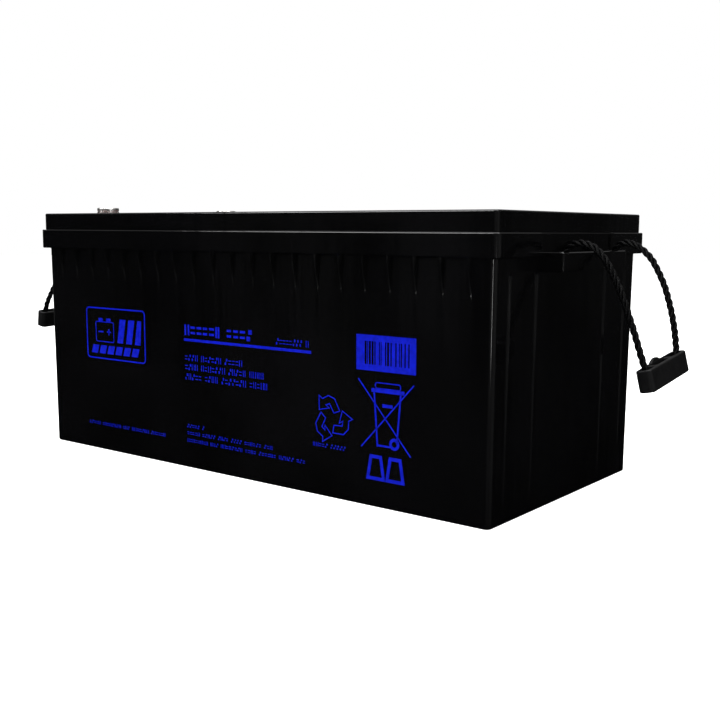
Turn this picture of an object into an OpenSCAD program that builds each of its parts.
// 12 V valve-regulated lead-acid block with a rope handle at each end.
// Origin: middle of the base. X runs along the case, Y across it, Z up.

/* [Overall] */
// Length over the two rope ledges
overall_l = 522; // [520:0.5:526]
// Length over the rim flange
flange_l = 495; // [493:0.5:497]
// Width over the rim flange
flange_w = 240; // [238:0.5:242]
// Height of the cover's top face
cover_top = 217; // [216:0.5:218]
// Height of the terminals' top faces
terminal_top = 222.5; // [221.5:0.5:224]

/* [Container] */
// Height of the flange's underside
flange_z = 185; // [184:0.5:186]
// Height of the container's rim, where the cover starts
rim_z = 202; // [201.5:0.5:202.5]
// How far the case stands in from the flange, just under it
case_inset = 5.2; // [4.8:0.1:5.6]
// How much each wall leans in from the flange to the base
draft = 1.1; // [0.8:0.1:1.4]
// Thickness of the outer walls under the flange
wall = 4.5; // [4.2:0.1:4.8]
// Thickness of the floor
floor_t = 5; // [4:0.5:6]
// Thickness of the partitions between cells
partition = 2.6; // [2.2:0.1:3]
// Radius of the upright corners
corner_r = 4; // [3:0.5:8]
// Number of gusset ribs under the flange on each long side
gussets = 21; // [15:2:21]
// Height of a gusset rib
gusset_h = 30; // [24:1:34]
// Thickness of a gusset rib
gusset_t = 2; // [2:0.5:4]

/* [Cover] */
// How far the cover stands in from the flange
cover_inset = 2.5; // [2:0.1:3]
// Thickness of the cover's top
cover_t = 5; // [4.5:0.5:6]

/* [Cells] */
// Positive plates in each cell
plates = 8; // [6:1:8]
// Thickness of a positive plate
positive_t = 6; // [5:0.1:6]
// Thickness of a negative plate
negative_t = 4.2; // [3.6:0.1:4.2]
// Thickness of a glass-mat separator
mat_t = 3.9; // [3.4:0.1:4]
// Width of the plates
plate_w = 100; // [90:1:102]
// Height of the plates
plate_h = 158; // [150:1:158]

/* [Terminals] */
// Diameter of a terminal's brass disc
terminal_d = 20; // [18:0.5:22]
// Distance of the terminals from the middle, along the case
terminal_x = 200.5; // [198:0.5:204]
// Bore for the M8 thread, at its minor diameter
thread_bore = 6.8; // [6.6:0.1:7]
// Depth of the M8 thread
thread_depth = 14; // [12:0.5:16]

/* [Rope handles] */
// Diameter of the rope
rope_d = 5.2; // [5:0.1:5.4]
// Length of a grip
grip_l = 72; // [70:1:74]
// Thickness of a grip
grip_t = 12; // [11.5:0.5:12.5]
// Height of a grip
grip_h = 16; // [15:0.5:16.5]

/* [Hidden] */
$fn = 64;
HULL_FN = 32;
EPS = 0.01;

// Container and cover
case_l = flange_l - 2 * case_inset;
case_w = flange_w - 2 * case_inset;
cavity_l = case_l - 2 * wall;
cavity_w = case_w - 2 * wall;
cover_l = flange_l - 2 * cover_inset;
cover_w = flange_w - 2 * cover_inset;
cavity_r = 3;
cover_r = corner_r - 1;

// Stretch of a long wall at each corner that the row of gussets leaves free
gusset_margin = 8;

base_edge = 1.5;

// Rim groove, its epoxy and the cover's tongue, measured in from the flange
groove_in = 4.4;
groove_w = 3.4;
groove_depth = 8;
tongue_in = 5.2;
tongue_w = 1.8;
tongue_h = 7;
skirt_t = 5.3;

// Flat end faces behind the ropes, and the ledges that hold them
pad_w = 120;
pad_x = cover_l / 2;
ledge_x = overall_l / 2;
ledge_w = 106;
ledge_z = 174.5;
ledge_top = 188.5;
hole_x = ledge_x - 5.1;
hole_y = 41;
hole_d = 6.8;
pocket_in = 3;
pocket_wall = 1.7;
pocket_w = 18;
pocket_top = 186;

// Tapered grooves down the end walls
flute_y = [57, 95];
flute_w = 6.5;
flute_tip = 1;
flute_depth = 2;
flute_bottom = 6;
flute_top = 174;

// Cells: two rows of three, in the order of the current
cell_pitch = (cavity_l + partition) / 3;
row_y = (cavity_w + partition) / 4;
cell_x = [-1, 0, 1, 1, 0, -1] * cell_pitch;
cell_row = [-1, -1, -1, 1, 1, 1];
// Side of its row on which each cell's positive strap lies: 1 is towards positive Y
strap_side = [-1, 1, -1, -1, 1, -1];
strap_off = 22;
plate_z = 9;
lug_w = 12;
strap_z = 176;
strap_t = 8;
strap_w = 20;
tab_t = 4;
tab_w = 24;
tab_top = 199;
weld_z = 191;
weld_d = 12;
plate_pitch = positive_t + negative_t + 2 * mat_t;
mat_over = 2;
rib_w = 5.6;
rib_z = 199.5;
rib_short = 2.2;
rib_slot_w = 3;
rib_slot_gap = 0.2;
crossing_d = 10;

// Valves and vent strips
vent_y = 38;
well_d = 26;
well_bore = 22;
well_z = 200;
well_floor = 2;
chimney_d = 10;
chimney_bore = 5;
chimney_top = 209.5;
valve_d = 14.5;
valve_z = 204;
valve_top = 213.4;
valve_fit = 0.05;
strip_l = 380;
strip_w = 34;
strip_t = 2.5;
strip_r = 6;
strip_gap = 0.2;
slot_l = 9;
slot_w = 1.4;

// Terminals, from the post up to the resin ring
terminal_y = row_y + strap_off;
post_d = 18;
post_top = 210;
stem_d = 12;
stem_z = 203;
post_fit = 0.1;
ring_d = 3;
ring_seat_d = 24.2;
resin_d = 32;
resin_t = 3;
boss_d = 40;
boss_z = 200;
chamfer = 0.8;

// Handles: axis of the swing, and the loop's route from the front leg to the rear one
swing_x = 259.3;
swing_z = 192;
stub_top = ledge_top - 0.6;
knot_d = 9;
knot_x = ledge_x - 7.2;
knot_z = 180.5;
ROPE_SIDES = 10;

right_route = [
    [259.3, -41, 192], [262.4, -41, 193.9], [266.2, -41, 194.7], [271.2, -41, 194.3], [276.3, -41, 192.6],
    [281, -41, 189.3], [285.5, -40.8, 184.3], [289.6, -40.2, 177.8], [293.8, -39.2, 169.4],
    [298.2, -37.8, 158.4], [302.5, -36.5, 146.4], [306.1, -35.3, 135.8], [309.5, -34.2, 124.6],
    [312.2, -33, 115.5], [314, -32, 109.7], [315, -29.8, 105.1], [315.6, -26.2, 102.5],
    [315.8, -21.5, 101.6], [315.5, 0, 103.5], [315.1, 19.5, 105.4], [314.7, 24.2, 107.1],
    [314, 27.3, 110.6], [313, 28.7, 115.5], [311.6, 30.5, 122], [309.5, 32.7, 130.5],
    [306.5, 34.5, 141.5], [303, 36, 152], [299, 37.5, 162], [294.8, 38.6, 170.2],
    [290.6, 39.6, 177], [286.6, 40.4, 182.6], [282, 40.8, 187.2], [276.6, 41, 191.2],
    [271.2, 41, 193.6], [266.2, 41, 194.4], [262.4, 41, 193.9], [259.3, 41, 192]];
right_grip_at = [315.2, -1.2, 104.8];
right_grip_tilt = [6.2, -11.4, 0];

left_route = [
    [-259.3, -41, 192], [-262.4, -41, 193.9], [-266.4, -41.2, 194.6], [-271.5, -42.6, 193.6],
    [-277.5, -44.6, 190.5], [-284, -47.6, 185], [-290.5, -51.2, 178], [-297, -55, 169.5],
    [-302.5, -58.5, 159], [-307.5, -62, 148], [-312, -65, 137.5], [-315.8, -67.3, 128],
    [-318.8, -67.9, 118.9], [-320.2, -65.8, 113.7], [-320.8, -62.2, 110.8], [-321, -57.5, 109.7],
    [-320.8, -38, 110.6], [-320.6, -18.5, 111.7], [-320.2, -13.8, 113.3], [-319.6, -10.7, 116.6],
    [-318.6, -9.1, 121.4], [-316.8, -5.8, 129], [-314, 1, 137], [-310.5, 8, 146],
    [-306, 15, 155], [-301, 21.5, 164], [-295.5, 27.4, 172], [-290, 32.2, 179],
    [-284, 36.3, 185.3], [-277.8, 39, 190.2], [-271.5, 40.4, 193.4], [-266.4, 40.9, 194.6],
    [-262.4, 41, 193.9], [-259.3, 41, 192]];
left_grip_at = [-320.5, -38, 112];
left_grip_tilt = [3, 11.4, 0];

// Grip: a trough with two bars across it and an ear on its inner wall
trough_w = 7;
trough_floor = 3.2;
grip_end_t = 1.5;
grip_r = 2.5;
bar_y = 14.5;
bar_w = 4;
bar_t = 3;
ear_w = 18;
ear_h = 2.5;
ear_t = 2.2;

// Colours
INK = "#141416";
GREY = "#2a2a2c";

// Places of each cell's two straps
function positive_y(c) = cell_row[c] * row_y + strap_side[c] * strap_off;
function negative_y(c) = cell_row[c] * row_y - strap_side[c] * strap_off;

// Centres of n plates in a row
function stack_x(n) = [for (i = [0 : n - 1]) (i - (n - 1) / 2) * plate_pitch];

// ---- Shared shapes ----

// Flat rectangle with round corners, made of true arcs
module round_rect(l, w, r) {
    square([l - 2 * r, w], center = true);
    square([l, w - 2 * r], center = true);
    for (sx = [-1, 1], sy = [-1, 1])
        translate([sx * (l / 2 - r), sy * (w / 2 - r)]) circle(r);
}

module slab(l, w, r, z0, z1) {
    translate([0, 0, z0]) linear_extrude(z1 - z0) round_rect(l, w, r);
}

// Closed band that follows the rim, from one inset to another
module rim_band(in0, in1, z0, z1) {
    difference() {
        slab(flange_l - 2 * in0, flange_w - 2 * in0, max(corner_r - in0, 1.5), z0, z1);
        slab(flange_l - 2 * in1, flange_w - 2 * in1, max(corner_r - in1, 1), z0 - 1, z1 + 1);
    }
}

module bar(x0, x1, y0, y1, z0, z1) {
    translate([x0, y0, z0]) cube([x1 - x0, y1 - y0, z1 - z0]);
}

module both_ends() {
    children();
    mirror([1, 0, 0]) children();
}

module both_sides() {
    children();
    mirror([0, 1, 0]) children();
}

// ---- Container ----

module case_shell() {
    low = draft + base_edge;
    hull() {
        translate([0, 0, flange_z]) linear_extrude(EPS) round_rect(case_l, case_w, corner_r, $fn = HULL_FN);
        translate([0, 0, base_edge]) linear_extrude(EPS)
            round_rect(case_l - 2 * draft, case_w - 2 * draft, corner_r, $fn = HULL_FN);
        linear_extrude(EPS) round_rect(case_l - 2 * low, case_w - 2 * low, corner_r, $fn = HULL_FN);
    }
}

module flange() {
    difference() {
        slab(flange_l, flange_w, corner_r, flange_z, rim_z);
        both_ends() bar(pad_x, flange_l, -pad_w / 2, pad_w / 2, flange_z - 1, rim_z + 1);
    }
}

module gusset_ribs() {
    pitch = (case_l - 2 * gusset_margin) / gussets;
    for (i = [0 : gussets - 1])
        translate([(i - (gussets - 1) / 2) * pitch - gusset_t / 2, 0, 0])
            rotate([90, 0, 90]) linear_extrude(gusset_t)
                polygon([[-case_w / 2 + 2, flange_z - gusset_h], [-case_w / 2 + 2, flange_z + 1],
                    [-flange_w / 2 + 0.6, flange_z + 1], [-case_w / 2 + 0.4, flange_z - gusset_h]]);
}

// Ledge against an end wall and the flat of the flange, with a hole and a knot pocket for each rope end
module rope_ledge() {
    color(INK) difference() {
        union() {
            bar(case_l / 2, ledge_x, -ledge_w / 2, ledge_w / 2, ledge_z, flange_z);
            bar(pad_x, ledge_x, -ledge_w / 2, ledge_w / 2, flange_z - 1, ledge_top);
        }
        for (s = [-1, 1]) {
            translate([hole_x, s * hole_y, ledge_z]) cylinder(d = hole_d, h = ledge_top);
            bar(pad_x + pocket_in, ledge_x - pocket_wall, s * hole_y - pocket_w / 2,
                s * hole_y + pocket_w / 2, ledge_z - 1, pocket_top);
        }
    }
}

// Groove that gets shallower and narrower towards the base
module flute(y) {
    tall = flute_top - flute_bottom;
    translate([case_l / 2 - draft, y, flute_bottom])
        rotate([0, atan((draft - flute_depth) / tall), 0])
            rotate([90, 0, 90]) linear_extrude(flute_depth * 2)
                polygon([[-flute_tip / 2, 0], [flute_tip / 2, 0], [flute_w / 2, tall], [-flute_w / 2, tall]]);
}

module cell_cavities() {
    for (i = [0 : 5])
        translate([cell_x[i], cell_row[i] * row_y, floor_t])
            linear_extrude(rim_z) round_rect(cell_pitch - partition, 2 * row_y - partition, cavity_r);
}

// Holes through the partitions for the cell links
module weld_holes() {
    for (c = [0, 1, 3, 4])
        translate([(cell_x[c] + cell_x[c + 1]) / 2, negative_y(c), weld_z]) rotate([0, 90, 0])
            cylinder(d = weld_d, h = 3 * partition, center = true);
    translate([cell_x[2], 0, weld_z]) rotate([90, 0, 0])
        cylinder(d = weld_d, h = 3 * partition, center = true);
}

module container() {
    color(INK) difference() {
        union() {
            case_shell();
            flange();
            both_sides() gusset_ribs();
        }
        both_ends() both_sides() for (y = flute_y) flute(y);
        cell_cavities();
        weld_holes();
        rim_band(groove_in, groove_in + groove_w, rim_z - groove_depth, rim_z + 1);
    }
}

// ---- Cover, its sealing and the vents ----

// Bars along the lines of the partitions, w wide, each ending a distance short of the outer walls
module partition_lines(w, short, z0, z1) {
    bar(short - cavity_l / 2, cavity_l / 2 - short, -w / 2, w / 2, z0, z1);
    for (s = [-1, 1])
        translate([s * cell_pitch / 2, 0, 0])
            bar(-w / 2, w / 2, short - cavity_w / 2, cavity_w / 2 - short, z0, z1);
}

// Ribs that straddle the tops of the partitions, open where the partitions cross
module cover_ribs() {
    slot_top = rim_z + rib_slot_gap;
    difference() {
        partition_lines(rib_w, rib_short, rib_z, cover_top - cover_t + EPS);
        partition_lines(rib_slot_w, 0, rib_z - 1, slot_top);
        for (s = [-1, 1])
            translate([s * cell_pitch / 2, 0, rib_z - 1]) cylinder(d = crossing_d, h = slot_top - rib_z + 1);
    }
}

module vent_wells() {
    for (i = [0 : 5])
        translate([cell_x[i], cell_row[i] * vent_y, well_z])
            cylinder(d = well_d, h = cover_top - well_z - EPS);
}

module well_bores() {
    for (i = [0 : 5])
        translate([cell_x[i], cell_row[i] * vent_y, 0]) {
            difference() {
                translate([0, 0, well_z + well_floor]) cylinder(d = well_bore, h = cover_top);
                cylinder(d = chimney_d, h = chimney_top);
            }
            translate([0, 0, well_z - 1]) cylinder(d = chimney_bore, h = cover_top);
        }
}

module terminal_bosses() {
    both_sides() translate([-terminal_x, terminal_y, boss_z])
        cylinder(d = boss_d, h = cover_top - boss_z - EPS);
}

module terminal_bores() {
    both_sides() translate([-terminal_x, terminal_y, 0]) {
        translate([0, 0, boss_z - 1]) cylinder(d = post_d + 0.4, h = cover_top);
        translate([0, 0, post_top - ring_d]) cylinder(d = ring_seat_d, h = cover_top);
        translate([0, 0, cover_top - resin_t]) cylinder(d = resin_d, h = cover_top);
    }
}

module cover() {
    color(INK) difference() {
        union() {
            difference() {
                slab(cover_l, cover_w, cover_r, rim_z, cover_top);
                slab(cover_l - 2 * skirt_t, cover_w - 2 * skirt_t, cavity_r, rim_z - 1, cover_top - cover_t);
            }
            rim_band(tongue_in, tongue_in + tongue_w, rim_z - tongue_h, rim_z + EPS);
            cover_ribs();
            vent_wells();
            terminal_bosses();
        }
        both_sides() translate([0, vent_y, 0])
            slab(strip_l, strip_w, strip_r, cover_top - strip_t, cover_top + 1);
        well_bores();
        terminal_bores();
    }
}

module cover_sealant() {
    color("#3a3a3c") difference() {
        rim_band(groove_in, groove_in + groove_w, rim_z - groove_depth, rim_z - EPS);
        rim_band(tongue_in, tongue_in + tongue_w, rim_z - tongue_h, rim_z + 1);
    }
}

// Plate over the valves of one row, with a gas slot by each valve
module vent_strip(side) {
    color(INK) difference() {
        translate([0, side * vent_y, 0])
            slab(strip_l - 2 * strip_gap, strip_w - 2 * strip_gap, strip_r - strip_gap,
                cover_top - strip_t, cover_top);
        for (i = [0 : 2])
            translate([cell_x[i] - slot_l / 2, side * (vent_y + well_bore / 2 - 3) - slot_w / 2, 0])
                cube([slot_l, slot_w, cover_top + 1]);
    }
}

// Rubber cap that sits on a chimney and lets gas out
module valve_cap(i) {
    color("#303030") translate([cell_x[i], cell_row[i] * vent_y, 0]) difference() {
        translate([0, 0, valve_z]) cylinder(d = valve_d, h = valve_top - valve_z);
        translate([0, 0, valve_z - 1])
            cylinder(r = chimney_d / 2 + valve_fit, h = chimney_top + valve_fit - valve_z + 1);
    }
}

// ---- Terminals ----

// Brass disc and stem, bored for the M8 thread
module terminal(side) {
    color("silver") translate([-terminal_x, side * terminal_y, 0]) difference() {
        union() {
            translate([0, 0, stem_z]) cylinder(d = stem_d, h = post_top - stem_z + EPS);
            translate([0, 0, post_top]) cylinder(d = terminal_d, h = terminal_top - chamfer - post_top);
            translate([0, 0, terminal_top - chamfer])
                cylinder(d1 = terminal_d, d2 = terminal_d - 2 * chamfer, h = chamfer);
        }
        translate([0, 0, terminal_top - thread_depth]) cylinder(d = thread_bore, h = thread_depth + 1);
    }
}

module post(side) {
    color("dimgray") translate([-terminal_x, side * terminal_y, 0]) difference() {
        translate([0, 0, strap_z + strap_t]) cylinder(d = post_d, h = post_top - strap_z - strap_t);
        translate([0, 0, stem_z]) cylinder(d = stem_d + post_fit, h = post_top);
    }
}

module o_ring(side) {
    color("black") translate([-terminal_x, side * terminal_y, post_top - ring_d / 2])
        rotate_extrude() translate([(post_d + ring_d) / 2, 0]) circle(d = ring_d, $fn = 24);
}

module resin_ring(side, tint) {
    foot = cover_top - resin_t;
    color(tint) translate([-terminal_x, side * terminal_y, 0]) rotate_extrude()
        polygon([[terminal_d / 2, post_top], [ring_seat_d / 2, post_top], [ring_seat_d / 2, foot],
            [resin_d / 2, foot], [resin_d / 2, cover_top - 0.3], [terminal_d / 2, cover_top - 0.3]]);
}

// ---- Cells ----

module plate_set(c, n, t, lug_y) {
    at = [cell_x[c], cell_row[c] * row_y];
    for (x = stack_x(n)) {
        bar(at.x + x - t / 2, at.x + x + t / 2, at.y - plate_w / 2, at.y + plate_w / 2,
            plate_z, plate_z + plate_h);
        bar(at.x + x - t / 2, at.x + x + t / 2, lug_y - lug_w / 2, lug_y + lug_w / 2,
            plate_z + plate_h - 1, strap_z);
    }
}

module positive_plates(c) {
    color("saddlebrown") plate_set(c, plates, positive_t, positive_y(c));
}

module negative_plates(c) {
    color("slategray") plate_set(c, plates + 1, negative_t, negative_y(c));
}

module separators(c) {
    at = [cell_x[c], cell_row[c] * row_y];
    color("white") for (x = stack_x(plates), s = [-1, 1])
        translate([at.x + x + s * (positive_t + mat_t) / 2, at.y, 0])
            bar(-mat_t / 2, mat_t / 2, -plate_w / 2 - mat_over, plate_w / 2 + mat_over,
                plate_z - mat_over, plate_z + plate_h + mat_over);
}

// Cast bar over one set of lugs, along X
module strap(c, y) {
    reach = (cell_pitch - partition - tab_t) / 2;
    bar(cell_x[c] - reach, cell_x[c] + reach, y - strap_w / 2, y + strap_w / 2,
        strap_z, strap_z + strap_t);
}

module end_strap(c, y) {
    color("dimgray") strap(c, y);
}

// Upright tab of a strap against a partition that stands across X
module tab_x(x, side, y) {
    face = x + side * partition / 2;
    bar(min(face, face + side * tab_t), max(face, face + side * tab_t),
        y - tab_w / 2, y + tab_w / 2, strap_z, tab_top);
}

module weld_x(x, y) {
    translate([x, y, weld_z]) rotate([0, 90, 0]) cylinder(d = weld_d, h = partition + 1, center = true);
}

// Negative strap of cell c and positive strap of the next one, welded through the partition
module link_along(c) {
    x = (cell_x[c] + cell_x[c + 1]) / 2;
    y = negative_y(c);
    color("dimgray") {
        strap(c, y);
        strap(c + 1, y);
        for (s = [-1, 1]) tab_x(x, s, y);
        weld_x(x, y);
    }
}

// The same between the rows, through the lengthwise partition
module link_across(c) {
    x = cell_x[c];
    y = abs(negative_y(c));
    color("dimgray") {
        strap(c, -y);
        strap(c + 1, y);
        both_sides() {
            bar(x - tab_w / 2, x + tab_w / 2, partition / 2, y, strap_z, strap_z + strap_t);
            bar(x - tab_w / 2, x + tab_w / 2, partition / 2, partition / 2 + tab_t, strap_z, tab_top);
        }
        translate([x, 0, weld_z]) rotate([90, 0, 0])
            cylinder(d = weld_d, h = partition + 1, center = true);
    }
}

// ---- Rope handles ----

function unit(v) = v / norm(v);
function tangent(p, i) = unit(p[min(i + 1, len(p) - 1)] - p[max(i - 1, 0)]);
function carried(u, t) = unit(u - (u * t) * t);
// One sideways direction for each point, carried along the route without twisting
function side_ways(p, i, u) =
    i == len(p) ? [] : let (v = carried(u, tangent(p, i))) concat([v], side_ways(p, i + 1, v));

// Round tube along a route
module tube(p, d) {
    n = ROPE_SIDES;
    last = len(p) - 1;
    ways = side_ways(p, 0, [0, 1, 0]);
    points = [for (i = [0 : last]) let (u = ways[i], v = cross(tangent(p, i), u))
        for (k = [0 : n - 1]) p[i] + d / 2 * (cos(360 * k / n) * u + sin(360 * k / n) * v)];
    start_cap = [[for (k = [0 : n - 1]) k]];
    end_cap = [[for (k = [0 : n - 1]) last * n + n - 1 - k]];
    sides = [for (i = [0 : last - 1]) for (k = [0 : n - 1]) let (m = (k + 1) % n)
        [i * n + k, (i + 1) * n + k, (i + 1) * n + m, i * n + m]];
    polyhedron(points, concat(start_cap, sides, end_cap));
}

module rope(route) {
    color(INK) tube(route, rope_d);
}

// The rope's two ends: each comes up through its hole and is knotted under the ledge
module rope_knots(side) {
    color(INK) for (s = [-1, 1]) translate([0, s * hole_y, 0]) {
        translate([side * hole_x, 0, knot_z]) cylinder(d = rope_d, h = stub_top - knot_z);
        translate([side * knot_x, 0, knot_z]) {
            sphere(d = knot_d, $fn = 32);
            rotate([55, 0, 0]) rotate_extrude() translate([knot_d / 3.6, 0])
                circle(d = knot_d / 2.2, $fn = 24);
        }
    }
}

// Trough that the rope lies in, with two bars over the rope; the ear is on the battery's side
module grip(at, tilt, side) {
    wall_x = -side * (grip_t / 2 - ear_t / 2);
    ear_r = (ear_w * ear_w / 4 + ear_h * ear_h) / (2 * ear_h);
    color(GREY) translate(at) rotate(tilt) {
        difference() {
            rotate([90, 0, 0]) linear_extrude(grip_l, center = true) round_rect(grip_t, grip_h, grip_r);
            bar(-trough_w / 2, trough_w / 2, grip_end_t - grip_l / 2, grip_l / 2 - grip_end_t,
                trough_floor - grip_h / 2, grip_h);
        }
        both_sides() bar(-trough_w / 2 - 1, trough_w / 2 + 1, bar_y - bar_w / 2, bar_y + bar_w / 2,
            grip_h / 2 - bar_t - 0.6, grip_h / 2 - 0.6);
        intersection() {
            translate([wall_x, 0, grip_h / 2 + ear_h - ear_r]) rotate([0, 90, 0])
                cylinder(r = ear_r, h = ear_t, center = true);
            bar(-grip_t, grip_t, -ear_w, ear_w, grip_h / 4, grip_h);
        }
    }
}

container();
rope_ledge();  // right_rope_ledge
mirror([1, 0, 0]) rope_ledge();  // left_rope_ledge
cover();
cover_sealant();
vent_strip(-1);  // vent_strip_front
vent_strip(1);  // vent_strip_rear
for (i = [1 : 6]) valve_cap(i - 1);
terminal(-1);  // positive_terminal
terminal(1);  // negative_terminal
post(-1);  // positive_post
post(1);  // negative_post
o_ring(-1);  // positive_o_ring
o_ring(1);  // negative_o_ring
resin_ring(-1, "firebrick");  // positive_resin_ring
resin_ring(1, "#202830");  // negative_resin_ring
for (i = [1 : 6]) positive_plates(i - 1);
for (i = [1 : 6]) negative_plates(i - 1);
for (i = [1 : 6]) separators(i - 1);
end_strap(0, positive_y(0));  // positive_end_strap
end_strap(5, negative_y(5));  // negative_end_strap
link_along(0);  // cell_link_1
link_along(1);  // cell_link_2
link_across(2);  // cell_link_3
link_along(3);  // cell_link_4
link_along(4);  // cell_link_5
rope_knots(1);  // right_rope_knots
rope_knots(-1);  // left_rope_knots
rope(right_route);  // right_rope
rope(left_route);  // left_rope
grip(right_grip_at, right_grip_tilt, 1);  // right_grip
grip(left_grip_at, left_grip_tilt, -1);  // left_grip
